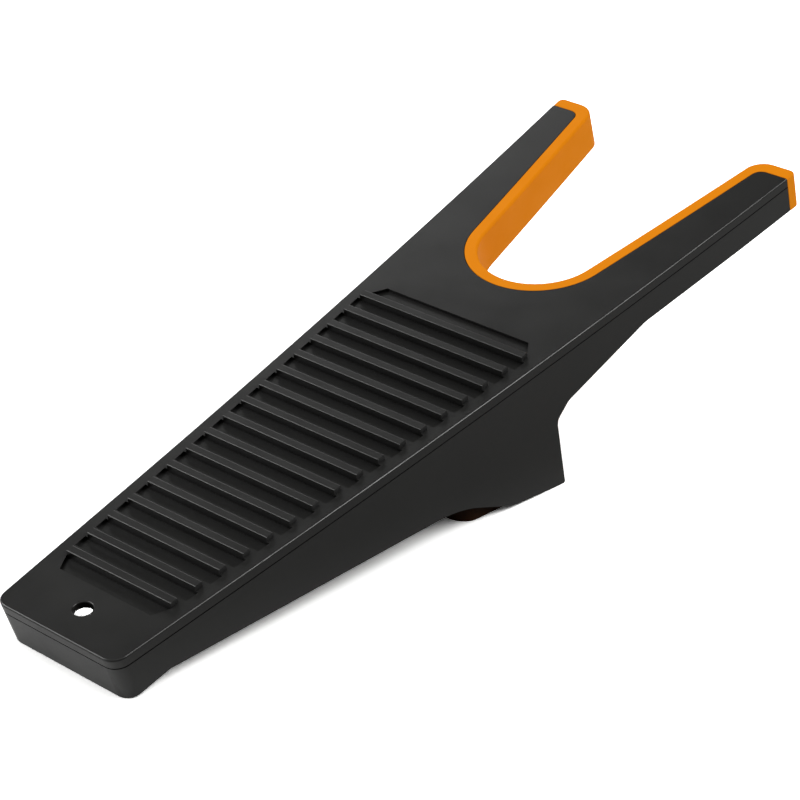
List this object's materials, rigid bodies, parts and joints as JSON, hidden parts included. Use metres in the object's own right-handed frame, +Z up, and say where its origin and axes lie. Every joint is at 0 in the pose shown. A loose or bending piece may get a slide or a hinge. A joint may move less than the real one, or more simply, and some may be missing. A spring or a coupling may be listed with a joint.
{
  "type": "boot jack",
  "caption": "Moulded boot jack: a ribbed ramp to stand on, with a prop foot, a hang hole and a rubber-lined fork that grips the heel of a boot.",
  "frame": {"origin": "on the floor, under the middle of the whole jack", "axes": "+X from the low front edge towards the fork, +Y to the left, +Z up"},
  "size_m": [0.3656, 0.118, 0.0978],
  "materials": {
    "shell_plastic": "satin black moulded plastic",
    "lining_rubber": "matt orange thermoplastic rubber",
    "pad_rubber": "matt orange thermoplastic rubber"
  },
  "bodies": {
    "root": {"body_shell": "shell_plastic", "notch_lining": "lining_rubber", "foot_pad": "pad_rubber", "front_pad": "pad_rubber"}
  },
  "joints": []
}
